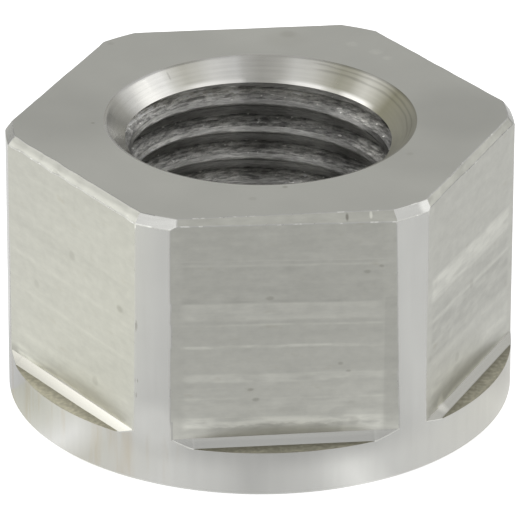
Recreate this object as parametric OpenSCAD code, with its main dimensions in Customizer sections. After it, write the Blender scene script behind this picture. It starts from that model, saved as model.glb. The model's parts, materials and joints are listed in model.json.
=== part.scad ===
// Flywheel nut, turned from round bar and milled with six flats.
// The flats stop short of the base, so a round collar of the bar is left below them.
// Sizes are in millimetres. The base lies on z = 0 and the thread's axis is +Z.

/* [Thread] */
// Major diameter of the thread
thread_d = 12; // [8:0.5:14]
// Pitch of the thread
thread_pitch = 1.25; // [0.75:0.25:2]

/* [Body] */
// Height from the base to the top face
nut_h = 12; // [8:0.1:20]
// Width across two opposite flats, with room for the spanner
across_flats = 18.9; // [17:0.1:26]
// How far the bar stands proud of the middle of each flat
bar_proud = 1.05; // [0.6:0.05:1.6]
// Height of the round collar below the flats
collar_h = 1.95; // [1:0.05:3.5]

/* [Milled flats] */
// How far the cutter's bevelled corner reaches out from the foot of a flat
foot_out = 0.35; // [0.1:0.05:0.5]
// How high the cutter's bevelled corner rises at the foot of a flat
foot_rise = 0.28; // [0.1:0.02:0.6]
// How far the filed top edge of a flat reaches in
filed_in = 0.25; // [0.1:0.05:0.6]
// How far the filed top edge of a flat reaches down
filed_down = 0.35; // [0.1:0.05:0.8]

/* [Turned edges] */
// How far the bevel on the bar's top edge reaches in
bar_bevel_in = 0.3; // [0.1:0.05:0.6]
// How far the bevel on the bar's top edge reaches down
bar_bevel_down = 0.4; // [0.1:0.05:0.8]
// Edge break round the bottom of the collar
base_break = 0.15; // [0.05:0.05:0.5]

/* [Countersinks] */
// How much wider than the thread the top countersink is, across its mouth
top_sink_over = 0.7; // [0.2:0.1:1.5]
// How much wider than the thread the base countersink is, across its mouth
base_sink_over = 0.4; // [0.2:0.1:1.5]

/* [Hidden] */

$fn = 96;

flat_count = 6;
flat_step = 360 / flat_count;
// The first flat's normal lies half a step from +X, so one flat faces the front
first_flat = flat_step / 2;

// The crests of an inside thread stand this many pitches across inside its major diameter
crest_depth_in_pitches = 1.0825;
bore_r = (thread_d - crest_depth_in_pitches * thread_pitch) / 2;

flat_r = across_flats / 2;
bar_r = flat_r + bar_proud;

// Both countersinks are cut at 45 degrees, so each is as deep as it is wide on one side
top_sink_r = (thread_d + top_sink_over) / 2;
base_sink_r = (thread_d + base_sink_over) / 2;
top_sink_depth = top_sink_r - bore_r;
base_sink_depth = base_sink_r - bore_r;

// The milling cutter runs this far past the bar and over the top face
overrun = bar_proud;
filed_slope = filed_in / filed_down;

// The turned blank: the bar faced, bored, countersunk and bevelled, as one section
module turned_blank() {
    rotate_extrude()
        polygon([
            [bore_r, base_sink_depth],
            [base_sink_r, 0],
            [bar_r - base_break, 0],
            [bar_r, base_break],
            [bar_r, nut_h - bar_bevel_down],
            [bar_r - bar_bevel_in, nut_h],
            [top_sink_r, nut_h],
            [bore_r, nut_h - top_sink_depth]
        ]);
}

// What one pass of the cutter and the file takes off, for a flat that faces +X:
// the ledge on top of the collar, the bevelled foot, the flat and its filed top edge
module flat_cut() {
    rotate([90, 0, 0])
        linear_extrude(height = 2 * bar_r, center = true)
            polygon([
                [flat_r + foot_out, collar_h],
                [flat_r, collar_h + foot_rise],
                [flat_r, nut_h - filed_down],
                [flat_r - filed_slope * (filed_down + overrun), nut_h + overrun],
                [bar_r + overrun, nut_h + overrun],
                [bar_r + overrun, collar_h]
            ]);
}

module flywheel_nut() {
    color([0.66, 0.66, 0.63])
        difference() {
            turned_blank();
            for (i = [0 : flat_count - 1])
                rotate(first_flat + i * flat_step)
                    flat_cut();
        }
}

flywheel_nut();
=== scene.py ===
# %% [markdown]
# # A flywheel nut
# A flywheel nut is one piece of steel. It starts as a length of round bar in a lathe, where it is
# faced, bored and countersunk. A milling cutter then takes six flats off the bar and stops short
# of the base, which leaves a round collar for the nut to sit on. A file breaks the top edges, a
# tap cuts the thread, and a last light pass cleans the countersink. This lesson makes the nut in the
# same order, with one mesh for the one piece, and each tool leaves its own finish on the faces that
# it cuts.

# %% Load the frame
import json
from math import acos, cos, pi, radians, sin, tan

import bmesh
import bpy
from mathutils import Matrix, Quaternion, Vector, noise


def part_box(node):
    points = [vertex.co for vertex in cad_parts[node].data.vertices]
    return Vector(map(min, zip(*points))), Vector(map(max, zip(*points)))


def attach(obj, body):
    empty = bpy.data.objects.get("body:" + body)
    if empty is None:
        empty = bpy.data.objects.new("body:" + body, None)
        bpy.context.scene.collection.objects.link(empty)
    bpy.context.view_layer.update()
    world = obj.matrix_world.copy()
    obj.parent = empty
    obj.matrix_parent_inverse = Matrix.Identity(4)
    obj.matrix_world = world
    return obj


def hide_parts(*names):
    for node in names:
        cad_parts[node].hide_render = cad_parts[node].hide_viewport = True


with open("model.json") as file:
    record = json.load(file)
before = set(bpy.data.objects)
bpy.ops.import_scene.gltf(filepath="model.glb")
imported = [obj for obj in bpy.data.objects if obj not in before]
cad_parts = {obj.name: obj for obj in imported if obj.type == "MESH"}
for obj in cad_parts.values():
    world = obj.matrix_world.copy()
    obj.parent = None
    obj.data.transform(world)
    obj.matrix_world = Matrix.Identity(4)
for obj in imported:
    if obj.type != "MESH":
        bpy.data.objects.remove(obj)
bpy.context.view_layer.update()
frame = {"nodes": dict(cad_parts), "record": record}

# %% [markdown]
# ## Sizes
# The frame already knows the nut's main sizes, so they are read from it and not typed again. The
# bar's radius and the height are the corners of its box, the flats and the ledge are found by the
# direction that their faces look in, and the thread's crests are the radius of the threaded mount.
# Only the small cuts that a machinist would judge by eye are written here.

# %% Sizes
MM = 0.001
NODE = "flywheel_nut"
cad_faces = frame["nodes"][NODE].data.polygons
BAR_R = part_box(NODE)[1].x
NUT_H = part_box(NODE)[1].z
thread_mount = next(m for m in frame["record"]["mounts"] if m["name"] == "thread")
CREST_R = thread_mount["dims"]["r_mm"] * MM
front_faces = [face for face in cad_faces if face.normal.y < -0.9999 and face.center.z > NUT_H / 2]
FLAT_R = max(-face.center.y for face in front_faces)
LEDGE_Z = min(face.center.z for face in cad_faces if face.normal.z > 0.9999)

FLAT_COUNT = 6
FOOT_OUT = 0.35 * MM
FOOT_RISE = 0.28 * MM
FILED_IN = 0.25 * MM
FILED_DOWN = 0.35 * MM
BEVEL_IN = 0.3 * MM
BEVEL_DOWN = 0.4 * MM
BASE_BREAK = 0.15 * MM
PITCH = 1.25 * MM
THREAD_R = 6.0 * MM
TOP_SINK_R = 6.35 * MM
BASE_SINK_R = 6.2 * MM
print(f"bar radius {BAR_R / MM:.3f}, height {NUT_H / MM:.3f}, flats at {FLAT_R / MM:.3f}, "
      f"ledge at {LEDGE_Z / MM:.3f}, thread crests at {CREST_R / MM:.3f} mm")

# %% [markdown]
# ## Finishes, one slot each
# A mesh can carry many materials, and each face holds the number of the slot it uses. The slots
# are made empty first and filled later, so that the shapes can be sorted into finishes while they
# are cut. A Boolean passes a cutter's finish on to the face that it leaves behind, just as a real
# cutter does.

# %% Finish slots
FINISHES = ["turned_face", "turned_bevel", "drawn_bar", "milled_flat", "milled_foot", "milled_ledge",
            "filed_edge", "worn_edge", "countersink", "thread", "turned_base"]
finish_material = {name: bpy.data.materials.new(name) for name in FINISHES}
SLOT = {name: number for number, name in enumerate(FINISHES)}


def give_finish_slots(piece):
    """Adds every finish to a piece's slots, in the same order on each piece."""
    for name in FINISHES:
        piece.data.materials.append(finish_material[name])


def apply_modifiers(piece):
    """Applies every modifier on the piece, in order."""
    bpy.context.view_layer.objects.active = piece
    for modifier in list(piece.modifiers):
        bpy.ops.object.modifier_apply(modifier=modifier.name)


def select_points(piece, wanted):
    """In edit mode, selects only the points whose place is wanted, and the edges between them."""
    bpy.ops.mesh.select_mode(type="VERT")
    bpy.ops.mesh.select_all(action="DESELECT")
    mesh = bmesh.from_edit_mesh(piece.data)
    for point in mesh.verts:
        point.select = wanted(point.co)
    mesh.select_flush_mode()
    bmesh.update_edit_mesh(piece.data)


def weld(piece):
    """Joins points that meet and stays in edit mode with all of the piece selected."""
    bpy.context.view_layer.objects.active = piece
    bpy.ops.object.mode_set(mode="EDIT")
    bpy.ops.mesh.select_all(action="SELECT")
    bpy.ops.mesh.remove_doubles(threshold=0.0005 * MM)


def close_mesh(piece):
    """Welds a mesh that was just drawn and turns its faces outwards."""
    weld(piece)
    bpy.ops.mesh.normals_make_consistent(inside=False)
    bpy.ops.object.mode_set(mode="OBJECT")


print("finish slots:", ", ".join(FINISHES))

# %% [markdown]
# ## The turned blank
# In the lathe, each pass of the tool leaves one ring: the bar, its bevel, the top face, the
# countersink with its rounded mouth, and the bore. A Spin of a drawn section would give the same
# solid. Here a circle is extruded and resized from ring to ring instead, because then each step of
# the loop is one pass of the tool, and it is plain which finish that pass leaves.

# %% Turn the blank
RING_STEPS = 192
MOUTH_ROUND = 0.24 * MM
MOUTH_STEPS = 3
mouth_start = TOP_SINK_R + MOUTH_ROUND * tan(pi / 8)
mouth = []
for step in range(1, MOUTH_STEPS + 1):
    lean = step / MOUTH_STEPS * pi / 4
    mouth_r = mouth_start - MOUTH_ROUND * sin(lean)
    mouth_z = NUT_H - MOUTH_ROUND * (1 - cos(lean))
    mouth.append((mouth_r, mouth_z, "countersink"))
sink_end = NUT_H - (TOP_SINK_R - CREST_R)
passes = [
    (BAR_R - BASE_BREAK, 0, "turned_base"),
    (BAR_R, BASE_BREAK, "drawn_bar"),
    (BAR_R, NUT_H - BEVEL_DOWN, "drawn_bar"),
    (BAR_R - BEVEL_IN, NUT_H, "turned_bevel"),
    (mouth_start, NUT_H, "turned_face"),
    *mouth,
    (CREST_R, sink_end, "countersink"),
    (CREST_R, BASE_SINK_R - CREST_R, "thread"),
    (BASE_SINK_R, 0, "countersink"),
    (BAR_R - BASE_BREAK, 0, "turned_base"),
]
bpy.ops.object.select_all(action="DESELECT")
first_r, first_z, _ = passes[0]
bpy.ops.mesh.primitive_circle_add(vertices=RING_STEPS, radius=first_r, location=(0, 0, first_z))
nut = bpy.context.object
nut.name = "nut"
give_finish_slots(nut)
bpy.ops.object.mode_set(mode="EDIT")
bpy.ops.mesh.select_all(action="SELECT")
for (r, z, _), (next_r, next_z, _) in zip(passes, passes[1:]):
    bpy.ops.mesh.extrude_edges_move()
    bpy.ops.transform.resize(value=(next_r / r, next_r / r, 1), center_override=(0, 0, 0))
    bpy.ops.transform.translate(value=(0, 0, next_z - z))
bpy.ops.object.mode_set(mode="OBJECT")
for face in nut.data.polygons:
    face.material_index = SLOT[passes[1 + face.index // RING_STEPS][2]]
close_mesh(nut)
print("turned blank:", len(nut.data.vertices), "vertices,", len(nut.data.polygons), "faces")

# %% [markdown]
# ## Six milled flats
# The cutter is a block whose inner side has the shape of the cut: a flat, a bevelled foot where
# the cutter's corner is ground off, and a floor that leaves the ledge on the collar. Above the
# flat the block leans in, which is the stroke of the file along the top edge. The flat is milled
# in passes, which run down a little to the right, each up to a hundredth of a millimetre deeper or
# shallower than the one above. At its lower right corner the front flat runs deeper, and the left
# one shallower. The cutter doesn't stop at quite the same height each time, and a file is never
# steady either, so its edge grows and shrinks along each flat. One block is made by extruding a row
# of edges from pass to pass, six of them are turned about the axis, and a Boolean takes them all
# off the blank at once.

# %% How true each flat is
LEFT, FRONT, RIGHT = 3, 4, 5
PASS_ENDS = [8.25 * MM, 7.3 * MM, 6.25 * MM, 5.0 * MM, 2.95 * MM]
PASS_STEP = 0.04 * MM
PASS_TILT = 0.025
PASS_WANDER = 0.010 * MM
CUT_HALF = 5.0 * MM
flat_low = LEDGE_Z + FOOT_RISE
flat_high = NUT_H - FILED_DOWN
EVEN = (0, 0, 0, 0)
corner_depth = {LEFT: (0, 0, 0, -0.055 * MM), FRONT: (0, -0.03 * MM, 0, 0.09 * MM)}
ledge_rise = {LEFT: 0.065 * MM}
foot_top_rise = {LEFT: 0.065 * MM, RIGHT: -0.09 * MM}
filed_share = {LEFT: (1.0, 1.15), FRONT: (0.72, 1.2), RIGHT: (0.85, 0.8)}
filed_ragged = {LEFT: 0.22, FRONT: 0.06}


def blend(start, end, share):
    return start + (end - start) * share


def extra_depth(number, across, up):
    """How much deeper than drawn the cutter ran, at this place on this flat."""
    top_left, top_right, low_left, low_right = corner_depth.get(number, EVEN)
    to_right = (across / CUT_HALF + 1) / 2
    to_top = (up - flat_low) / (flat_high - flat_low)
    lean = blend(blend(low_left, low_right, to_right), blend(top_left, top_right, to_right), to_top)
    pass_number = sum(up < end for end in PASS_ENDS)
    return lean + PASS_WANDER * noise.noise(Vector((number * 3.7, pass_number * 2.3, 0.5)))


def file_reach(number, across):
    """How far the file went here, as a share of its usual reach."""
    left_end, right_end = filed_share.get(number, (1, 1))
    along = Vector((across / MM, number * 7.3, 0))
    ragged = noise.noise(along) + 0.3 * noise.noise(along * 3)
    return blend(left_end, right_end, (across / CUT_HALF + 1) / 2) + filed_ragged.get(number, 0.1) * ragged


print("milling passes end at", [round(end / MM, 2) for end in PASS_ENDS], "mm")

# %% Mill the flats
COLUMNS = 84
OVERRUN = 1.0 * MM
FILED_SLOPE = FILED_IN / FILED_DOWN
cut_out = BAR_R + OVERRUN
cut_top = NUT_H + OVERRUN
filed_top_x = FLAT_R - FILED_SLOPE * (FILED_DOWN + OVERRUN)
flat_rows = [flat_high]
for end in PASS_ENDS:
    flat_rows += [end + PASS_STEP, end - PASS_STEP]
flat_rows.append(flat_low)


def near(value, wanted):
    return abs(value - wanted) < 0.01 * MM


def milling_block(number):
    """One cutter block, for a flat that faces +X, before it is turned to its place."""
    top_row, second_row = flat_rows[:2]
    bpy.ops.object.select_all(action="DESELECT")
    bpy.ops.mesh.primitive_grid_add(x_subdivisions=1, y_subdivisions=COLUMNS, size=1,
                                    location=(FLAT_R, 0, (top_row + second_row) / 2), rotation=(0, pi / 2, 0))
    block = bpy.context.object
    block.scale = (top_row - second_row, 2 * CUT_HALF, 1)
    bpy.ops.object.transform_apply(location=True, rotation=True, scale=True)
    give_finish_slots(block)
    bpy.ops.object.mode_set(mode="EDIT")
    select_points(block, lambda place: near(place.z, second_row))
    moves = [(0, 0, below - above) for above, below in zip(flat_rows[1:], flat_rows[2:])]
    moves += [(FOOT_OUT, 0, -FOOT_RISE), (cut_out - FLAT_R - FOOT_OUT, 0, 0), (0, 0, cut_top - LEDGE_Z)]
    for move in moves:
        bpy.ops.mesh.extrude_edges_move(TRANSFORM_OT_translate={"value": move})
    select_points(block, lambda place: near(place.z, flat_high))
    rise = (filed_top_x - FLAT_R, 0, cut_top - flat_high)
    bpy.ops.mesh.extrude_edges_move(TRANSFORM_OT_translate={"value": rise})
    select_points(block, lambda place: near(place.z, cut_top))
    bpy.ops.mesh.bridge_edge_loops()
    bpy.ops.mesh.select_all(action="SELECT")
    bpy.ops.mesh.fill_holes(sides=0)
    bpy.ops.object.mode_set(mode="OBJECT")
    close_mesh(block)
    for vertex in block.data.vertices:
        vertex.co = worked_place(number, *vertex.co)
    for face in block.data.polygons:
        face.material_index = SLOT[cut_finish(face)]
    return block


def worked_place(number, x, y, z):
    """Where a point of the true block lies once the cutter and the file have wandered."""
    reach = file_reach(number, y)
    if near(z, LEDGE_Z):
        return x, y, z + ledge_rise.get(number, 0)
    if near(x, FLAT_R):
        if near(z, flat_low):
            worked_z = z + foot_top_rise.get(number, 0)
        elif near(z, flat_high):
            worked_z = NUT_H - reach * FILED_DOWN
        else:
            worked_z = z - PASS_TILT * y
        return x - extra_depth(number, y, z), y, worked_z
    if near(x, filed_top_x):
        return x - (reach - 1) * FILED_IN - extra_depth(number, y, flat_high), y, z
    return x, y, z


def cut_finish(face):
    """The finish that a face of a cutter block leaves on the nut."""
    if face.normal.z < -0.99:
        return "milled_ledge"
    if face.center.z < flat_low:
        return "milled_foot"
    return "filed_edge" if face.center.z > flat_high else "milled_flat"


blocks = []
for number in range(FLAT_COUNT):
    block = milling_block(number)
    block.rotation_euler.z = pi / FLAT_COUNT + number * 2 * pi / FLAT_COUNT
    bpy.ops.object.transform_apply(rotation=True)
    blocks.append(block)
bpy.ops.object.select_all(action="DESELECT")
for block in blocks:
    block.select_set(True)
bpy.context.view_layer.objects.active = blocks[0]
bpy.ops.object.join()
cutters = bpy.context.object
print("cutters:", len(cutters.data.polygons), "faces")


def cut_away(piece, tool):
    """Takes the tool's solid off the piece, with the tool's finishes, and puts the tool away."""
    bpy.ops.object.select_all(action="DESELECT")
    cut = piece.modifiers.new("cut", "BOOLEAN")
    cut.object = tool
    cut.operation = "DIFFERENCE"
    cut.solver = "MANIFOLD"
    apply_modifiers(piece)
    bpy.data.objects.remove(tool)
    weld(piece)
    bpy.ops.object.mode_set(mode="OBJECT")


cut_away(nut, cutters)
print("milled nut:", len(nut.data.vertices), "vertices,", len(nut.data.polygons), "faces")

# %% [markdown]
# ## Broken edges
# No machined edge is perfectly sharp: handling alone leaves a rounding of a few hundredths of a
# millimetre, and that is what catches the light along every outer edge. Inner corners are never
# rubbed, and neither are the dirty rims of the ledges, so only the other edges that stand out, and
# more than the steps between the milling passes do, get a weight. The Bevel modifier rounds those
# and gives the new faces a finish of their own. A bevel folds over where points lie closer than its
# width, so points that are almost one are welded first, and faces that are almost flat together are
# joined. How they are joined depends on their order, so the mesh is sorted first, by the distance
# from a point off to one side, and edit mode is entered afresh, so that every run gives the same
# result. Where three edges meet, the bevel can still throw a point a little past the bar or the top
# face, and such a point is drawn back. All this comes before the tap, because the tap's own edges
# are left as it tears them.

# %% Break the edges
EDGE_BREAK = 0.03 * MM
ALMOST_ONE = 0.05 * MM
ALMOST_FLAT = radians(1.2)
SORT_FROM = (13.1 * MM, 37.3 * MM, 71.7 * MM)
SHARP = radians(18)
bpy.ops.object.mode_set(mode="EDIT")
bpy.ops.mesh.select_all(action="SELECT")
bpy.ops.mesh.remove_doubles(threshold=ALMOST_ONE)
bpy.context.scene.cursor.location = SORT_FROM
bpy.ops.mesh.sort_elements(type="CURSOR_DISTANCE", elements={"VERT", "EDGE", "FACE"})
bpy.context.scene.cursor.location = (0, 0, 0)
bpy.ops.object.mode_set(mode="OBJECT")
bpy.ops.object.mode_set(mode="EDIT")
bpy.ops.mesh.dissolve_limited(angle_limit=ALMOST_FLAT, delimit={"MATERIAL"})
mesh = bmesh.from_edit_mesh(nut.data)
weight = mesh.edges.layers.float.new("bevel_weight_edge")
for edge in mesh.edges:
    on_ledge = any(face.material_index == SLOT["milled_ledge"] for face in edge.link_faces)
    edge[weight] = edge.calc_face_angle_signed() > SHARP and not on_ledge
bmesh.update_edit_mesh(nut.data)
bpy.ops.object.mode_set(mode="OBJECT")
bevel = nut.modifiers.new("edge break", "BEVEL")
bevel.width = EDGE_BREAK
bevel.segments = 2
bevel.limit_method = "WEIGHT"
bevel.use_clamp_overlap = False
bevel.material = SLOT["worn_edge"]
apply_modifiers(nut)
for vertex in nut.data.vertices:
    vertex.co.z = min(vertex.co.z, NUT_H)
    vertex.co.xy *= min(1, BAR_R / vertex.co.xy.length)
weld(nut)
bpy.ops.object.mode_set(mode="OBJECT")
print("edges broken:", len(nut.data.polygons), "faces")

# %% [markdown]
# ## The thread
# The tap is a screw, so it is made as one: a single tooth's outline is drawn point by point, and
# the Screw modifier carries it round and up, one pitch for each turn. The tap was blunt, so its
# teeth are worn short and flat, and they are shaken a little by noise where they tore the steel. The
# crests that it leaves lean back a little, where they were burnished. Its ends run past both faces
# of the nut and are closed to a point. The last pass over the countersink pushed a lip over the
# first groove, so the tap is cut off level with that lip. The Boolean then cuts the grooves into the
# plain bore.

# %% Wind the tap
TAP_STEPS = 160
TAP_TURNS = 12
TURNS_BELOW = 8
TAP_ROOT_R = CREST_R - 0.02 * MM
TAP_TIP_R = THREAD_R - 0.08 * MM
CREST_TALL = 0.24 * MM
CREST_LEAN = 0.1 * MM
CREST_LOW_AT_BACK = 8.96 * MM
TEAR = 0.035 * MM
flank = tan(radians(30))
way_in = TAP_TIP_R - TAP_ROOT_R
way_out = way_in - CREST_LEAN
tip_flat = PITCH - CREST_TALL - (way_in + way_out) * flank
tooth = [(CREST_LEAN, CREST_TALL), (way_out, way_out * flank), (0, tip_flat), (-way_in, way_in * flank)]
quarter_turn = PITCH / 4
tap_start = CREST_LOW_AT_BACK + (CREST_R - TAP_ROOT_R) * flank - quarter_turn - TURNS_BELOW * PITCH

bpy.ops.object.select_all(action="DESELECT")
bpy.ops.mesh.primitive_plane_add(size=MM)
tap = bpy.context.object
give_finish_slots(tap)
bpy.ops.object.mode_set(mode="EDIT")
bpy.ops.mesh.select_mode(type="VERT")
bpy.ops.mesh.select_all(action="SELECT")
bpy.ops.mesh.merge(type="CENTER")
bpy.ops.transform.translate(value=(TAP_ROOT_R, 0, tap_start))
for out, up in tooth:
    bpy.ops.mesh.extrude_vertices_move(TRANSFORM_OT_translate={"value": (out, 0, up)})
bpy.ops.object.mode_set(mode="OBJECT")
screw = tap.modifiers.new("turns", "SCREW")
screw.axis = "Z"
screw.angle = 2 * pi
screw.screw_offset = PITCH
screw.iterations = TAP_TURNS
screw.steps = TAP_STEPS
screw.render_steps = TAP_STEPS
apply_modifiers(tap)
close_mesh(tap)
for vertex in tap.data.vertices:
    vertex.co.z += TEAR * noise.noise(vertex.co / MM * 1.6)
for face in tap.data.polygons:
    face.material_index = SLOT["thread"]
print("tap:", len(tap.data.vertices), "vertices,", len(tap.data.polygons), "faces")

# %% Close the tap's ends and cut the thread
middle = tap_start + TAP_TURNS * PITCH / 2
for end in (-1, 1):
    bpy.ops.object.mode_set(mode="EDIT")
    bpy.ops.mesh.select_mode(type="EDGE")
    bpy.ops.mesh.select_all(action="DESELECT")
    bpy.ops.mesh.select_non_manifold(extend=False)
    mesh = bmesh.from_edit_mesh(tap.data)
    for edge in mesh.edges:
        at_this_end = all((point.co.z - middle) * end > 0 for point in edge.verts)
        edge.select_set(edge.select and at_this_end)
    bmesh.update_edit_mesh(tap.data)
    bpy.ops.mesh.extrude_edges_move()
    bpy.ops.mesh.merge(type="CENTER")
    bpy.ops.object.mode_set(mode="OBJECT")
close_mesh(tap)
LIP_Z = 11.15 * MM
LIP_LEAN = 0.0127
bpy.ops.object.select_all(action="DESELECT")
bpy.ops.mesh.primitive_cylinder_add(vertices=64, radius=BAR_R, depth=NUT_H,
                                    location=(0, 0, LIP_Z + NUT_H / 2))
stop = bpy.context.object
give_finish_slots(stop)
for face in stop.data.polygons:
    face.material_index = SLOT["thread"]
for vertex in stop.data.vertices:
    vertex.co.z -= LIP_LEAN * vertex.co.x
cut_away(tap, stop)
cut_away(nut, tap)
print("tapped nut:", len(nut.data.vertices), "vertices,", len(nut.data.polygons), "faces")

# %% [markdown]
# ## Shading
# Smooth shading is wanted on the rounds and flat shading on the flats. Edges over a few degrees
# are marked sharp, so that the steps between milling passes stay crisp, and the Weighted Normal
# modifier lets the large faces decide, so that the flats stay flat up to their edges.

# %% Smooth the rounds
bpy.ops.object.select_all(action="DESELECT")
nut.select_set(True)
bpy.context.view_layer.objects.active = nut
SMOOTH_BELOW = radians(7)
bpy.ops.object.shade_smooth_by_angle(angle=SMOOTH_BELOW)
weighted = nut.modifiers.new("flat faces lead", "WEIGHTED_NORMAL")
weighted.keep_sharp = True
weighted.weight = 100
apply_modifiers(nut)
print("smooth across edges of less than", round(SMOOTH_BELOW * 180 / pi), "degrees")

# %% [markdown]
# ## Placing the piece
# The nut stands for the CAD node of the same shape, which is then hidden, and it rides on the one
# body of the frame.

# %% Ride and replace
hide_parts(NODE)
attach(nut, "root")
print(nut.name, "stands for", NODE)

# %% [markdown]
# ## Shader arithmetic
# A finish is mostly arithmetic on a few patterns. This class wraps one output of a node, so that
# plus, minus and times can be written as usual and each adds a Math node. Every other node comes
# from its one method, node(), which sets a node's own settings first and then its inputs.

# %% The Wire class
class Wire:
    """One output of a shader node, usable in sums and products."""

    def __init__(self, tree, socket=None):
        self.tree = tree
        self.socket = socket

    def node(self, kind, settings=None, inputs=None, output=0):
        """Adds a node of this kind and returns a Wire from one of its outputs."""
        made = self.tree.nodes.new(kind)
        for name, value in (settings or {}).items():
            if name == "stops":
                fill_ramp(made.color_ramp, value)
            else:
                setattr(made, name, value)
        for name, value in (inputs or {}).items():
            if isinstance(value, Wire):
                self.tree.links.new(value.socket, made.inputs[name])
            else:
                made.inputs[name].default_value = value
        return Wire(self.tree, made.outputs[output])

    def also(self, output):
        """Another output of the same node."""
        return Wire(self.tree, self.socket.node.outputs[output])

    def math(self, operation, *values):
        return self.node("ShaderNodeMath", {"operation": operation}, dict(enumerate(values)))

    def __add__(self, other):
        return self.math("ADD", self, other)

    def __radd__(self, other):
        return self.math("ADD", other, self)

    def __sub__(self, other):
        return self.math("SUBTRACT", self, other)

    def __rsub__(self, other):
        return self.math("SUBTRACT", other, self)

    def __mul__(self, other):
        return self.math("MULTIPLY", self, other)

    def __rmul__(self, other):
        return self.math("MULTIPLY", other, self)

    def __truediv__(self, other):
        return self.math("DIVIDE", self, other)

    def __rtruediv__(self, other):
        return self.math("DIVIDE", other, self)

    def __pow__(self, other):
        return self.math("POWER", self, other)

    def __abs__(self):
        return self.math("ABSOLUTE", self)


def fill_ramp(ramp, stops):
    """Sets a colour ramp's stops from (place, grey or colour) pairs, in order of place."""
    stops = sorted(stops, key=lambda stop: stop[0])
    while len(ramp.elements) < len(stops):
        ramp.elements.new(0.5)
    for element, (place, tone) in zip(ramp.elements, stops):
        element.position = place
        element.color = tone + (1,) if isinstance(tone, tuple) else (tone, tone, tone, 1)


def fade(value, low, high):
    """Rises smoothly from 0 at low to 1 at high."""
    return value.node("ShaderNodeMapRange", {"interpolation_type": "SMOOTHSTEP"},
                      {"Value": value, "From Min": low, "From Max": high})


def vector(x, y, z):
    wire = next(part for part in (x, y, z) if isinstance(part, Wire))
    return wire.node("ShaderNodeCombineXYZ", inputs={"X": x, "Y": y, "Z": z})


def grain(place, scale, detail=3.0, roughness=0.5):
    """Noise around 0, from about -0.5 to 0.5."""
    return place.node("ShaderNodeTexNoise", inputs={
        "Vector": place, "Scale": scale, "Detail": detail, "Roughness": roughness}) - 0.5


def mixed(factor, low_colour, high_colour):
    """A colour between two others. A plain colour is written as three numbers."""
    ends = [end + (1,) if isinstance(end, tuple) else end for end in (low_colour, high_colour)]
    return factor.node("ShaderNodeMix", {"data_type": "RGBA"}, {0: factor, 6: ends[0], 7: ends[1]}, output=2)


def shaded(colour, tone):
    """A colour made lighter or darker by a tone around 1."""
    return tone.node("ShaderNodeVectorMath", {"operation": "SCALE"}, {0: colour, "Scale": tone})


def link(wire, shader, socket):
    wire.tree.links.new(wire.socket, shader.inputs[socket])


def bumped(height, shader, depth):
    """Lets a height from 0 to 1 tilt the light, with this depth in millimetres."""
    bump = height.node("ShaderNodeBump", inputs={"Strength": 1.0, "Distance": depth * MM, "Height": height})
    link(bump, shader, "Normal")


def start_finish(name):
    """Opens a finish: its shader, and the place on the nut in millimetres."""
    material = finish_material[name]
    material.use_nodes = True
    shader = material.node_tree.nodes["Principled BSDF"]
    shader.inputs["Metallic"].default_value = 1
    metres = Wire(material.node_tree).node("ShaderNodeTexCoord", output="Object")
    place = metres.node("ShaderNodeMapping", inputs={"Vector": metres, "Scale": (1 / MM, 1 / MM, 1 / MM)})
    x = place.node("ShaderNodeSeparateXYZ", inputs={"Vector": place}, output="X")
    print("finish:", name)
    return shader, place, x, x.also("Y"), x.also("Z")


def spots(x, y, marks):
    """A sum of soft round marks, each given by its place, radius and strength."""
    total = 0
    for mark_x, mark_y, size, strength in marks:
        away = ((x - mark_x) ** 2 + (y - mark_y) ** 2) ** 0.5
        total = total + (1 - fade(away, 0.3 * size, size)) * strength
    return total


def specks(place, scale, share):
    """Rare small dark specks, in a share of the cells of a Voronoi pattern."""
    cell = place.node("ShaderNodeTexVoronoi", inputs={"Vector": place, "Scale": scale}, output="Distance")
    chance = cell.node("ShaderNodeSeparateColor", inputs={"Color": cell.also("Color")}, output="Red")
    return (1 - fade(cell, 0.08, 0.2)) * chance.math("LESS_THAN", chance, share)


STEEL = (0.6, 0.6, 0.55)
print("shader arithmetic ready")

# %% [markdown]
# ## The turned faces
# The top was faced in the lathe with a fine feed, so it is even and grey, with rings too fine to
# count. What shows is handling: pale scuffs near the back, a stain there, broad cloudy patches of
# thin oil, and a few specks. Some broad patches, darker at the left and right and lighter at the
# front and back, are painted reflection, the way turned rings take the light. The rings go mostly
# into the bump and the rest into the colour. The base has the same finish with marks of its own,
# so one function makes both.

# %% Turned faces
OLD_OIL = (0.2, 0.185, 0.12)
TOP_STAINS = [(2.03, 8.43, 0.5, 0.12), (1.9, 7.9, 1.3, 0.08), (-6.89, 0.2, 0.12, 0.3),
              (0.32, -6.68, 0.16, 0.35)]
TOP_SCUFFS = [(4.61, 7.14, 0.35, 0.14), (5.52, 6.22, 0.4, 0.14), (5.91, 5.56, 0.3, 0.14)]
# Broad patches of painted reflection: darker at the left and right, lighter at the front and back.
TOP_PAINTED_REFLECTION = [(-8.0, 1.0, 3.5, 0.1), (8.2, -0.4, 3.8, 0.14), (0.5, 8.6, 3.0, -0.06),
              (-5.4, -4.7, 4.0, -0.06), (6.5, -4.5, 3.0, 0.05), (-6.6, 3.9, 2.5, 0.03)]
BASE_STAINS = [(3.0, 7.4, 0.5, 0.3)]
BASE_SCUFFS = [(-7.5, 3.0, 0.6, 0.15)]
BASE_CLOUDS = [(5.5, -6.0, 4.0, 0.1)]


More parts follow.
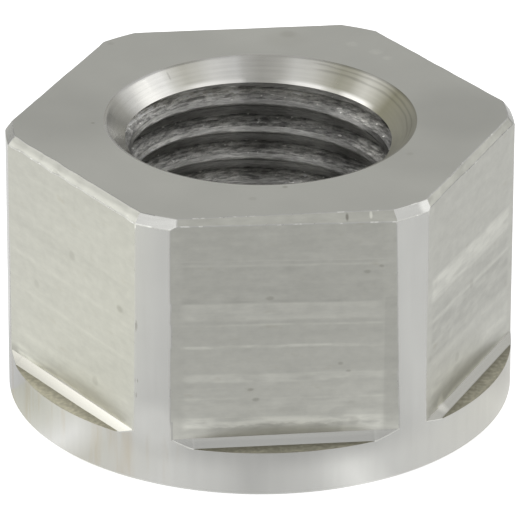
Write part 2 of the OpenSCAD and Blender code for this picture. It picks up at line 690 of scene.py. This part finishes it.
def turned_finish(name, stains, scuffs, clouds):
    """A faced end of the bar, with its marks given as places, radii and strengths."""
    shader, place, x, y, z = start_finish(name)
    radius = (x * x + y * y) ** 0.5
    rings = grain(vector(radius, 0, 0), 9.0, 2.0)
    cloudy = grain(place, 0.35, 2.0)
    fine = grain(place, 5.0, 3.0)
    stain = spots(x, y, stains) + specks(place, 0.9, 0.15) * 0.12
    # On the top face, the broad patches are painted reflection.
    tone = 1.05 + 0.02 * rings + 0.14 * cloudy + 0.03 * fine - spots(x, y, clouds)
    bare = shaded(STEEL, tone * (1 + spots(x, y, scuffs) * (0.6 + fine)))
    link(mixed(stain, bare, OLD_OIL), shader, "Base Color")
    link(0.33 + 0.05 * fine + 0.1 * stain, shader, "Roughness")
    bumped(rings + 0.5, shader, 0.0015)


turned_finish("turned_face", TOP_STAINS, TOP_SCUFFS, TOP_PAINTED_REFLECTION)
turned_finish("turned_base", BASE_STAINS, BASE_SCUFFS, BASE_CLOUDS)

# %% [markdown]
# ## The drawn bar
# The strips between the flats and the collar are the skin of the bar itself. Drawing the bar
# through a die leaves a smooth skin with faint lines along its length, and it is less yellow than
# the cut faces. The lines are noise that is stretched along Z, thin warm stains run down the collar
# on one side, and a few dark nicks lie along one edge of the left flat. The bevel at the top of the
# bar was turned, so its scratches run round it. It is painted lighter at both sides and darker on
# the right, a painted reflection, with one painted glint.

# %% Drawn bar
BAR_SKIN = (0.62, 0.62, 0.595)
WARM_STAIN = (0.56, 0.5, 0.4)
NICKED_BAR = (0.3, 0.29, 0.25)
BAR_NICKS = [(0, 7.05, 0.32, 0.5), (0.2, 4.6, 0.14, 0.4), (0, 3.9, 0.16, 0.4)]
PALE_PATCH = (-5.1, 2.7, 1.4, 0.18)
shader, place, x, y, z = start_finish("drawn_bar")
lines = grain(vector(x, y, z * 0.06), 2.2, 4.0)
blotches = grain(place, 0.5, 3.0)
low_down = 1 - fade(z, 1.8, 2.7)
warm = fade(grain(vector(x, y, z * 0.1 + 4), 1.6, 3.0), 0.0, 0.2) * low_down * fade(0 - x, 2.0, 6.0)
edge_turn = 2 * pi / FLAT_COUNT - acos(FLAT_R / BAR_R)
edge_place = (-BAR_R / MM * sin(edge_turn), -BAR_R / MM * cos(edge_turn), 0)
from_edge = place.node("ShaderNodeVectorMath", {"operation": "DISTANCE"},
                       {0: vector(x, y, 0), 1: edge_place}, output="Value")
nicks = spots(from_edge * 3, z + 0.3 * grain(place, 5.0), BAR_NICKS)
pale = spots(x, z, [PALE_PATCH]) * fade(0 - y, 0.0, 1.0)
skin = shaded(BAR_SKIN, 1 + 0.1 * lines + 0.09 * blotches + pale)
link(mixed(nicks, mixed(0.5 * warm, skin, WARM_STAIN), NICKED_BAR), shader, "Base Color")
link(0.2 + 0.06 * lines, shader, "Roughness")
bumped(lines + 0.5, shader, 0.002)

# %% Turned bevel
BEVEL_STEEL = (0.6, 0.6, 0.575)
BEVEL_GLINT = (5.8, -8.55, 0.45, 0.4)
shader, place, x, y, z = start_finish("turned_bevel")
scratch = grain(vector(x, y, z * 6), 1.5, 4.0)
# Painted reflection: lighter at both sides and darker on the right, plus one painted glint.
tone = 1 + 0.15 * scratch - 0.12 * fade(x, 0.0, 3.0) + 0.3 * fade(abs(x), 8.0, 9.5)
link(shaded(BEVEL_STEEL, tone + spots(x, y, [BEVEL_GLINT])), shader, "Base Color")
link(0.25 + 0.15 * scratch, shader, "Roughness")

# %% [markdown]
# ## The milled flats
# Each pass of the cutter leaves a band as wide as its step, and each band takes the light in its
# own way. So a flat is shaded by height: a colour ramp gives the painted tone of each pass, with
# thin bright or dark lines where two passes meet, and a little noise breaks the lines up along the
# flat. The lowest stops are painted light that lightens the flat just above its foot. Three ramps
# serve the three flats at the front, and the flats behind use them again. To read one ramp on every
# flat, the shader first works out which flat it is on, and then how far along that flat. Specks of
# dried dirt, small painted glints, painted light and shade near the feet, and a painted reflection
# of the dark ledge above the front foot have places of their own.

# %% Which flat, and how far along it
def flat_place(x, y):
    """The number of the flat, counted as the cutters were, the distance along it and out from the axis."""
    step = 2 * pi / FLAT_COUNT
    turn = y.math("ARCTAN2", y, x)
    sector = turn.math("FLOOR", turn / step)
    facing = (sector + 0.5) * step
    east = facing.math("COSINE", facing)
    north = facing.math("SINE", facing)
    return sector.math("FLOORED_MODULO", sector, FLAT_COUNT), y * east - x * north, x * east + y * north


def on_flat(number, wanted):
    """1 on the wanted flat and 0 on the others."""
    return number.math("COMPARE", number, wanted, 0.5)


def on_front_flats(number):
    """The same for the left, the front and the right flat."""
    return [on_flat(number, flat) for flat in (LEFT, FRONT, RIGHT)]


def passes_by_height(up, bands):
    """The tone of the milling passes, from (height in millimetres, tone) pairs."""
    stops = [(height * MM / NUT_H, tone) for height, tone in bands]
    return up.node("ShaderNodeValToRGB", {"stops": stops}, {"Fac": up * MM / NUT_H})


# The lowest stops of each ramp are painted light, lightening the flat just above its foot.
LEFT_BANDS = [(2.28, 1.75), (2.5, 1.18), (2.8, 0.96), (3.3, 1.06), (4.0, 1.01), (5.2, 0.99),
              (5.4, 1.05), (5.5, 1.0), (6.8, 0.99), (7.0, 1.04), (7.1, 1.0), (8.0, 1.0), (8.25, 0.96),
              (8.6, 0.97), (8.7, 1.01), (11.6, 0.98)]
FRONT_BANDS = [(2.3, 1.05), (2.6, 1.2), (2.68, 1.36), (2.9, 1.3), (3.02, 1.22), (3.1, 1.08),
               (3.84, 1.08), (3.9, 1.16), (3.96, 1.07), (4.6, 1.05), (4.67, 1.13), (4.99, 1.13),
               (5.06, 1.03), (6.14, 1.02), (6.21, 1.16), (6.28, 1.16), (6.34, 1.0), (7.15, 0.99),
               (7.23, 1.11), (7.3, 0.97), (7.38, 0.98), (7.5, 1.08), (8.16, 1.08), (8.24, 0.92),
               (8.35, 0.95), (9.8, 0.96), (9.88, 1.05), (9.95, 0.96), (10.03, 0.96), (10.08, 1.03),
               (10.14, 0.96), (11.6, 0.97)]
RIGHT_BANDS = [(2.18, 1.3), (2.3, 1.12), (2.45, 1.0), (2.7, 0.96), (2.95, 1.05), (3.3, 1.13),
               (3.6, 1.05), (4.0, 0.97), (4.4, 1.05), (4.7, 0.92), (6.15, 0.9), (6.3, 1.08),
               (6.45, 0.92), (7.1, 0.95), (7.3, 1.14), (8.1, 1.17), (8.3, 0.97), (11.6, 0.97)]
print("milling bands:", len(LEFT_BANDS), len(FRONT_BANDS), len(RIGHT_BANDS), "stops")

# %% Milled flats
HEEL_GLINT = (-3.05, 2.26, 0.45, 0.38)
PALE_CORNER = (-4.5, 2.8, 0.7, 0.14)
SPECK_SQUASH = 0.6
FLAT_SPECKS = [(FRONT, 2.31, 5.34, 0.1), (FRONT, 3.92, 9.65, 0.09), (FRONT, 3.36, 9.42, 0.12),
               (FRONT, -1.33, 4.33, 0.1), (FRONT, -1.13, 3.87, 0.12), (FRONT, 2.64, 4.99, 0.08),
               (FRONT, -0.55, 8.41, 0.14), (LEFT, 3.47, 7.37, 0.2)]
MILLED_STAIN = (0.46, 0.43, 0.34)
DRIED_DIRT = (0.16, 0.15, 0.11)
shader, place, x, y, z = start_finish("milled_flat")
number, across, out = flat_place(x, y)
left, front, right = on_front_flats(number)
wobble = grain(vector(across * 0.5, z * 0.3, number * 5), 1.0, 2.0)
behind = number.math("LESS_THAN", number, LEFT)
up = z + PASS_TILT * across + 0.12 * wobble + 0.45 * behind
kind = number.math("FLOORED_MODULO", number, 3)
tone = 0
for pick, bands in enumerate([LEFT_BANDS, FRONT_BANDS, RIGHT_BANDS]):
    tone = tone + passes_by_height(up, bands) * on_flat(kind, pick)
broken = fade(grain(vector(across * 0.6, z * 2.5, number * 9), 1.0, 3.0), -0.2, 0.12)
broken = broken * fade(4.25 - abs(across), 0.0, 0.4)
streaks = grain(vector(across * 0.15, z * 5.0, number * 7), 1.0, 5.0, 0.65)
clouds = grain(vector(across * 0.9, z * 1.8, number * 11), 1.0, 5.0, 0.7)
mottle = grain(vector(across * 2.4, z * 3.6, number * 17), 1.0, 2.0)
edge_pass = fade(across, 4.05, 4.12) * (1 - fade(z, 8.2, 8.3)) * front
# A dark patch with a ragged top above the front foot is a painted reflection of the dark ledge, and just
# above the foot the front flat is painted lighter.
reflection_top = 2.72 + 0.6 * grain(vector(across, 0, 3), 1.1, 3.0)
ledge_reflection = (1 - fade(z - reflection_top, -0.03, 0.03)) * fade(across, -3.3, -2.6) * (1 - fade(across, 2.2, 2.5))
tone = 1 + (tone - 1) * (0.2 + 1.35 * broken) + 0.1 * streaks + 0.26 * clouds + 0.13 * mottle
tone = tone - 0.06 * edge_pass + (0.16 - 0.16 * fade(z, 2.3, 2.65) - 0.2 * ledge_reflection) * front
# A painted glint low on the right flat, and a painted highlight at the lower left of the front flat.
tone = tone + spots(across, z, [HEEL_GLINT]) * right + spots(across, z, [PALE_CORNER]) * front
# Painted light and shade just above the left foot: darker at its left end, lighter towards the right.
left_foot_light = (1 - fade(z, 2.4, 2.75)) * left
tone = tone * (1 + left_foot_light * (0.5 * fade(across, -4.6, 2.2) - 0.2 * fade(across, 2.4, 3.8) - 0.3))
dirt = specks(vector(across, z, number * 3), 0.7, 0.2) * 0.15
ragged_across = across + 0.12 * grain(place, 6.0, 2.0)
for flat, mark_across, mark_up, size in FLAT_SPECKS:
    speck = spots(SPECK_SQUASH * ragged_across, z, [(SPECK_SQUASH * mark_across, mark_up, size, 0.27)])
    dirt = dirt + speck * on_flat(number, flat)
stains = 0.3 * fade(grain(vector(across * 0.9, z * 2.2, number * 13), 1.0, 3.0), 0.12, 0.3)
steel = mixed(stains, shaded(STEEL, tone), MILLED_STAIN)
link(mixed(dirt, steel, DRIED_DIRT), shader, "Base Color")
link(0.36 + 0.1 * streaks, shader, "Roughness")
bumped(streaks + 0.5, shader, 0.004)

# %% [markdown]
# ## The foot and the ledge
# The ground-off corner of the cutter leaves a bright narrow bevel at the foot of each flat. Below
# it lies the ledge, which keeps its grime, with painted shade in the corner under the flat and
# painted light towards the rim. Both are noise and soft fades, with a small shift of tone from flat
# to flat at the front, which is painted light and shade, and the lower part of the feet is painted
# darker.

# %% Milled foot
FOOT_STEEL = (0.605, 0.6, 0.555)
FRONT_FOOT_STEEL = (0.61, 0.61, 0.585)
shader, place, x, y, z = start_finish("milled_foot")
number, across, out = flat_place(x, y)
streaks = grain(vector(across * 0.2, z * 8, number * 7), 1.0, 3.0)
left, front, right = on_front_flats(number)
# Painted light and shade: the lower part of the left and front feet and the lower edge of the right foot are
# darker, and each foot at the front is lighter or darker as the light falls on it.
lower_shade = 1 - fade(z + 0.06 * streaks, 2.0, 2.3)
low_edge_shade = (1 - fade(z + 0.06 * streaks, 1.93, 1.98)) * right
tone = 1 + 0.1 * streaks + (0.05 - 0.2 * lower_shade + 0.05 * across) * left + (0.13 - 0.08 * lower_shade) * front
tone = tone - 0.35 * low_edge_shade + spots(across, z, [HEEL_GLINT]) * right
link(shaded(mixed(front, FOOT_STEEL, FRONT_FOOT_STEEL), tone), shader, "Base Color")
link(0.24 + 0.1 * streaks, shader, "Roughness")

# %% Milled ledge
LEDGE_GRIME_AND_SHADE = (0.32, 0.305, 0.245)
LEDGE_RIM_LIGHT = (0.54, 0.515, 0.425)
shader, place, x, y, z = start_finish("milled_ledge")
number, across, out = flat_place(x, y)
grime = grain(place, 5.0, 3.0, 0.6)
# Grime and painted shade in the corner under the flat, with painted light towards the rim.
rim_light = fade(out + 0.6 * grime, 9.8, 10.5)
# Painted light and shade from flat to flat: the left ledge lighter, the front one darker.
lighter = 0.24 * on_flat(number, LEFT) - 0.1 * on_flat(number, FRONT)
burr = fade(out, 10.34, 10.44) * fade(grime, -0.05, 0.1)
ledge_colour = mixed(rim_light, LEDGE_GRIME_AND_SHADE, LEDGE_RIM_LIGHT)
link(shaded(ledge_colour, 1 + lighter + 0.7 * grime - 0.35 * burr), shader, "Base Color")
link(0.5 - 0.15 * rim_light, shader, "Roughness")

# %% [markdown]
# ## Filed and worn edges
# A file leaves short strokes that lie along the edge, with glints painted where they end. The edges
# that were only broken by handling are smoother, with a nick here and there and painted glints at
# the top. Both come from noise, in the colour and in the bump, and one dark nick and one nick with a
# painted glint on the front flat have places of their own. At the front, each filed edge is also
# painted lighter or darker as the light falls on it.

# %% Filed edges
FILED_STEEL = (0.65, 0.65, 0.59)
NICKED_EDGE = (0.2, 0.19, 0.16)
DARK_NICK = (2.53, 5.91, 0.09, 0.7)
NICK_GLINT = (3.49, 5.93, 0.09, 0.4)
shader, place, x, y, z = start_finish("filed_edge")
number, across, out = flat_place(x, y)
strokes = grain(vector(across * 1.2, z * 5, number * 4), 1.0, 4.0, 0.6)
left, front, right = on_front_flats(number)
# The front filed edge is painted darker and the right one lighter, as the light falls on them.
tone = 1 + 0.25 * strokes - 0.18 * front + 0.14 * right + spots(across, z * 0.5, [NICK_GLINT]) * front
below = 1 - fade(z + 0.15 * strokes, 11.72, 11.86)
# On the left flat the lower half of the filed edge is lighter, with painted glints near its lower boundary.
glints = fade(grain(vector(across * 1.6, z * 3, 7), 1.0, 2.0), 0.06, 0.16) * (1 - fade(z, 11.7, 11.78))
tone = tone + left * (0.22 * below + 0.35 * glints - 0.06)
nick = spots(across, z * 0.5, [DARK_NICK]) * front
link(mixed(nick, shaded(FILED_STEEL, tone), NICKED_EDGE), shader, "Base Color")
link(0.35 + 0.2 * strokes, shader, "Roughness")
bumped(strokes + 0.5, shader, 0.015)

# %% Worn edges
WORN_STEEL = (0.6, 0.6, 0.57)
shader, place, x, y, z = start_finish("worn_edge")
nicks = grain(place, 2.0, 3.0, 0.6)
number, across, out = flat_place(x, y)
at_top = fade(z, 11.3, 11.5)
left = on_flat(number, LEFT)
rim = fade(z, 11.85, 11.95) * left
# Painted glints along the top edges; the top edges of the left flat are painted lighter, and darker along
# their top rim.
glints = fade(grain(place, 2.4, 2.0), 0.08, 0.16) * at_top
tone = 1 + 0.3 * nicks + 0.4 * glints * (1 - rim) + 0.3 * left * at_top - 0.6 * rim
link(shaded(WORN_STEEL, tone), shader, "Base Color")
link(0.3 + 0.2 * nicks, shader, "Roughness")
bumped(nicks + 0.5, shader, 0.015)

# %% [markdown]
# ## The countersink
# The countersink was cleaned last and is the brightest turned face. It was wiped in places, and old
# oil has dried to an olive film in others. A polished cone also mirrors the room, so a ramp over the
# bearing is partly how thick the film is and partly painted reflection, and those tones stay in
# place when the light moves. Fine rings run round it, with two deeper scratches on the right and a
# short one on the left. The lip at its lower end has a painted highlight in a few stretches at the back.

# %% Countersink
WIPED_AND_LIT = (0.76, 0.755, 0.73)
OLIVE_FILM_AND_SHADE = (0.22, 0.212, 0.15)
LIP_HIGHLIGHT = (0.93, 0.92, 0.88)
SINK_FILM_AND_REFLECTION = [(-180, 0.3), (0, 0.84), (20, 0.97), (30, 0.6), (36, 0.45), (40, 0.57), (44, 0.77),
             (50, 0.85), (56, 0.67), (62, 0.42), (70, 0.24), (76, 0.41), (84, 0.44), (91, 0.24),
             (94, 0.02), (104, 0.19), (110, 0.48), (116, 0.62), (122, 0.43), (127, 0.06), (140, 0.15),
             (150, 0.19), (158, 0.54), (172, 0.52), (180, 0.4)]
LIP_SHINE = [(-180, 0), (25, 0), (33, 1), (44, 0.9), (48, 0.35), (54, 0.4), (58, 0.9), (68, 0.9),
             (78, 0), (90, 0), (93, 1), (112, 0.7), (120, 0.2), (145, 0)]
RING_SCRATCHES = [11.7, 11.86]
SHORT_SCRATCH = (92.6, 11.76, 0.2, 1.0)


def by_bearing(turn, tones):
    """A tone for each bearing round the axis, in degrees from +X."""
    stops = [((bearing + 180) / 360, tone) for bearing, tone in tones]
    return turn.node("ShaderNodeValToRGB", {"stops": stops}, {"Fac": turn})


shader, place, x, y, z = start_finish("countersink")
radius = (x * x + y * y) ** 0.5
turn = place.node("ShaderNodeTexGradient", {"gradient_type": "RADIAL"}, {"Vector": place}, output="Fac")
rings = grain(vector(radius, 0, 0), 12.0, 2.0)
smears = grain(vector(x * 0.5, y * 0.5, radius * 5), 1.0, 3.0)
above_lip = z - LIP_Z / MM + LIP_LEAN * x + 0.1 * smears
# A painted highlight along the lip, in a few stretches at the back.
lip = (1 - fade(above_lip, 0.06, 0.2)) * by_bearing(turn, LIP_SHINE)
scratch = spots(turn * 110, z, [SHORT_SCRATCH])
for scratch_z in RING_SCRATCHES:
    scratch = scratch + (1 - fade(abs(z - scratch_z + 0.15 * smears), 0.01, 0.04)) * fade(x, 2.5, 3.2)
# The ramp over the bearing is partly olive film and partly painted reflection.
film_and_reflection = mixed(by_bearing(turn, SINK_FILM_AND_REFLECTION), WIPED_AND_LIT, OLIVE_FILM_AND_SHADE)
film_and_reflection = shaded(film_and_reflection, 1 + 0.25 * rings + 0.2 * smears - 0.2 * scratch)
link(mixed(lip, film_and_reflection, LIP_HIGHLIGHT), shader, "Base Color")
link(0.24 + 0.1 * smears + 0.2 * fade(x, 3.0, 5.5), shader, "Roughness")
bumped(rings + 0.5, shader, 0.003)

# %% [markdown]
# ## The thread
# The crests are burnished to a line, and its painted sheen is bright on the left and dull on the
# right. The tap tore the flanks above them, and these are painted lighter, with painted glitter,
# while the grooves are darker, partly dark cutting oil and partly painted shade. One finish covers
# all of it: the height less the climb of the helix tells how far up its own pitch a point lies, and
# a ramp over that gives the tone. Ramps over the bearing make it lighter or darker, as painted light
# and shade, one of them for a glare near the top that is painted on, a band just under the lip is
# painted lighter, and noise that is stretched round the bore tears the bands apart.

# %% Thread
THREAD_STEEL = (1.0, 0.99, 0.95)
# Tone up one pitch: the torn flank painted lighter, the groove darker with oil and painted shade.
THREAD_TONES = [(0.0, 0.4), (0.19, 0.34), (0.207, 0.42), (0.225, 0.49), (0.25, 0.52), (0.295, 0.52),
                (0.33, 0.49), (0.346, 0.49), (0.379, 0.66), (0.41, 0.49), (0.433, 0.28), (0.47, 0.33),
                (0.6, 0.33), (0.71, 0.3), (1.0, 0.3)]
# Painted light and shade round the bore, by bearing.
THREAD_LIGHT_BY_BEARING = [(-180, 0.6), (-150, 0.9), (-30, 0.8), (0, 0.38), (10, 0.44), (20, 0.62), (30, 1.0),
                (36, 1.0), (39, 0.7), (50, 0.68), (58, 1.02), (68, 1.05), (74, 0.86), (78, 0.76),
                (89, 0.78), (95, 1.15), (110, 1.15), (118, 0.98), (140, 1.15), (155, 1.1), (165, 0.72),
                (180, 0.6)]
# The burnished crest line with its painted sheen, by bearing.
CREST_BURNISH_AND_SHEEN = [(-180, 0.4), (-30, 0.4), (0, 0.18), (20, 0.25), (45, 0.3), (60, 0.33), (75, 0.28),
             (88, 0.32), (97, 0.53), (112, 0.51), (120, 0.49), (132, 0.76), (140, 0.97), (160, 0.9),
             (170, 0.5), (180, 0.4)]
GLARE = [(-180, 0), (24, 0), (32, 0.6), (46, 0.6), (54, 0), (180, 0)]
shader, place, x, y, z = start_finish("thread")
radial = place.node("ShaderNodeTexGradient", {"gradient_type": "RADIAL"}, {"Vector": place}, output="Fac")
turn = y.math("ARCTAN2", y, x)
unrolled = (CREST_R / MM) / (x * x + y * y) ** 0.5
torn = grain(vector(x * unrolled * 2, y * unrolled * 2, z * 13), 1.2, 4.0, 0.7)
climb = (z - CREST_LOW_AT_BACK / MM) / (PITCH / MM) - (turn - pi / 2) / (2 * pi)
phase = climb.math("FRACT", climb + 0.05 * torn)
tone = phase.node("ShaderNodeValToRGB", {"stops": THREAD_TONES}, {"Fac": phase})
tone = tone * by_bearing(radial, THREAD_LIGHT_BY_BEARING)
crest_line = 1 - fade(phase, 0.15, 0.2)
tone = tone + crest_line * (by_bearing(radial, CREST_BURNISH_AND_SHEEN) - tone)
top_crest = fade(z, 9.3, 9.9)
glare = by_bearing(radial, GLARE) * fade(z, 9.0, 10.3)
rough_part = fade(phase, 0.15, 0.2) * (1 - fade(phase, 0.46, 0.5))
streaks = 0.45 + 0.55 * rough_part
# A painted lighter band in the first groove just under the lip.
under_lip_light = fade(z, LIP_Z / MM - 0.65, LIP_Z / MM - 0.5) * fade(phase, 0.31, 0.33)
glitter = fade(grain(vector(x * 3.5, y * 3.5, z * 7), 1.0, 1.0), 0.18, 0.26) * rough_part
tone = tone * (1 - (0.2 + 0.1 * crest_line) * top_crest + 0.7 * under_lip_light)
tone = tone + glare * (0.62 - tone)
tone = tone * (1 + streaks * (0.9 * fade(torn, -0.15, 0.15) - 0.45)) + 0.5 * glitter
link(shaded(THREAD_STEEL, tone), shader, "Base Color")
link(0.35 + 0.3 * torn, shader, "Roughness")
bumped(torn + 0.5, shader, 0.025)

# %% [markdown]
# ## Camera
# A long lens from a little above, so the upright edges stay almost parallel. A short lens would
# splay them. The angles, the distance and the focal length were fitted to the nut's own corners, so
# they are plain numbers here.

# %% Camera
AZIMUTH = radians(-5.841)
ELEVATION = radians(25.904)
ROLL = radians(0.156)
DISTANCE = 257.53 * MM
AIM = Vector((0, 0, 5.523 * MM))
FOCAL_PIXELS = 6191.8
IMAGE_PIXELS = 520

back = Vector((sin(AZIMUTH) * cos(ELEVATION), -cos(AZIMUTH) * cos(ELEVATION), sin(ELEVATION)))
lens = bpy.data.cameras.new("camera")
lens.sensor_width = 36
lens.lens = FOCAL_PIXELS / IMAGE_PIXELS * lens.sensor_width
lens.clip_start = 10 * MM
camera = bpy.data.objects.new("camera", lens)
camera.location = AIM + DISTANCE * back
camera.rotation_mode = "QUATERNION"
camera.rotation_quaternion = (-back).to_track_quat("-Z", "Y") @ Quaternion((0, 0, 1), ROLL)
bpy.context.scene.collection.objects.link(camera)
bpy.context.scene.camera = camera
print(f"camera {DISTANCE / MM:.0f} mm away with a {lens.lens:.0f} mm lens")

# %% [markdown]
# ## Floor and light
# Bare steel shows what stands around it more than its own colour, so the surroundings are planned
# like a small light tent. The floor and the room are white to the camera. To the metal, the floor
# has a soft tone for each bearing: brighter to the left, darker towards the camera, and with two
# brighter streaks close to the collar. Far behind the nut the floor and the room turn grey, which
# gives the polished cone its dark sides. The floor lies a hair below the base, so that the two
# don't share one plane. Three square lamps on the left, right and front add the brighter gleams.

# %% Floor
NEAR_TONES = [(-180, (0.66, 0.66, 0.6)), (-168, (0.8, 0.8, 0.73)), (-160, (0.96, 0.96, 0.91)),
              (-151, 1.22), (-141, (0.88, 0.87, 0.82)), (-120, 0.93), (-108, 0.84), (-98, 0.67),
              (-82, 0.83), (-72, 1.15), (-62, 0.88), (-20, (0.91, 0.9, 0.86)), (-5, (0.71, 0.7, 0.67)),
              (60, 0.8), (180, 0.66)]
FAR_TONES = [(-180, (1.02, 1.02, 0.97)), (-155, (0.98, 0.98, 0.93)), (-134, 0.82), (-110, 0.6),
             (-86, 0.56), (-68, 0.62), (-40, 0.86), (-15, 0.78), (15, 0.76), (90, 0.78), (150, 0.9),
             (180, (1.02, 1.02, 0.97))]
BEHIND_TONE = (0.38, 0.38, 0.36)
FLOOR_R = 2.0
FLOOR_GAP = 0.01 * MM


def surface(tree, kind, shader):
    """Ends a floor or room tree in its output."""
    output = tree.nodes.new(kind)
    tree.links.new(shader.socket, output.inputs["Surface"])


bpy.ops.object.select_all(action="DESELECT")
bpy.ops.mesh.primitive_circle_add(vertices=96, radius=FLOOR_R, fill_type="NGON", location=(0, 0, -FLOOR_GAP))
floor = bpy.context.object
floor.name = "floor"
floor_material = bpy.data.materials.new("floor_white")
floor_material.use_nodes = True
floor_tree = floor_material.node_tree
floor_tree.nodes.clear()
place = Wire(floor_tree).node("ShaderNodeTexCoord", output="Object")
turn = place.node("ShaderNodeTexGradient", {"gradient_type": "RADIAL"}, {"Vector": place}, output="Fac")
away = place.node("ShaderNodeVectorMath", {"operation": "LENGTH"}, {0: place}, output="Value") / MM
tone = mixed(fade(away, 12.2, 14.5), by_bearing(turn, NEAR_TONES), by_bearing(turn, FAR_TONES))
north = place.node("ShaderNodeSeparateXYZ", inputs={"Vector": place}, output="Y") / MM
tone = mixed(fade(away, 45, 110) * fade(north / away, 0.0, 0.5), tone, BEHIND_TONE)
to_camera = place.node("ShaderNodeLightPath", output="Is Camera Ray")
white = place.node("ShaderNodeEmission", inputs={"Color": (1, 1, 1, 1), "Strength": 0.6})
lit = place.node("ShaderNodeBsdfDiffuse", inputs={"Color": (0.9, 0.9, 0.9, 1)})
seen = place.node("ShaderNodeAddShader", inputs={0: white, 1: lit})
mirrored = place.node("ShaderNodeEmission", inputs={"Color": tone, "Strength": 1.0})
surface(floor_tree, "ShaderNodeOutputMaterial",
        place.node("ShaderNodeMixShader", inputs={0: to_camera, 1: mirrored, 2: seen}))
floor.data.materials.append(floor_material)
print(f"floor: {FLOOR_R:.0f} m in radius, {FLOOR_GAP / MM:.2f} mm below the base")

# %% Room
world = bpy.data.worlds.new("light_tent")
bpy.context.scene.world = world
world.use_nodes = True
world_tree = world.node_tree
world_tree.nodes.clear()
direction = Wire(world_tree).node("ShaderNodeTexCoord", output="Generated")
sideways = direction.node("ShaderNodeSeparateXYZ", inputs={"Vector": direction}, output="X")
north = sideways.also("Y")
height = sideways.also("Z")
panels = fade(abs(sideways), 0.05, 0.6) * (1 - 0.75 * fade(north, 0.3, 0.5) * fade(sideways, 0.0, 0.2))
back_wall = (1 - fade(height, 0.1, 0.35)) * fade(north, 0.0, 0.5)
tent = (0.55 + 0.5 * panels) * (1 - 0.65 * back_wall)
to_camera = direction.node("ShaderNodeLightPath", output="Is Camera Ray")
white = direction.node("ShaderNodeBackground", inputs={"Color": (1, 1, 1, 1), "Strength": 1.0})
room = direction.node("ShaderNodeBackground", inputs={"Color": tent, "Strength": 1.0})
surface(world_tree, "ShaderNodeOutputWorld",
        direction.node("ShaderNodeMixShader", inputs={0: to_camera, 1: room, 2: white}))
print("room:", world.name)


# %% Lamps
def softbox(name, direction, distance, size, brightness, colour):
    """A square lamp that looks at the nut from this direction, with a brightness where 1 is white."""
    lamp = bpy.data.lights.new(name, "AREA")
    lamp.size = size
    lamp.energy = brightness * pi * size ** 2
    lamp.color = colour
    holder = bpy.data.objects.new(name, lamp)
    holder.location = AIM + distance * Vector(direction).normalized()
    holder.rotation_mode = "QUATERNION"
    holder.rotation_quaternion = Vector(direction).to_track_quat("Z", "Y")
    bpy.context.scene.collection.objects.link(holder)
    print(f"{name}: {lamp.energy:.2f} W")


softbox("left_softbox", (-0.63, 0.48, 0.61), 0.6, 0.2, 0.66, (1.0, 0.97, 0.88))
softbox("right_softbox", (0.81, 0.25, 0.53), 0.6, 0.17, 0.5, (1.0, 0.99, 0.96))
softbox("front_softbox", (-0.35, -0.75, 0.6), 0.6, 0.3, 0.8, (1.0, 1.0, 1.0))

# %% [markdown]
# ## The view
# The Standard view shows the tones as they were set.

# %% View settings
bpy.context.scene.view_settings.view_transform = "Standard"
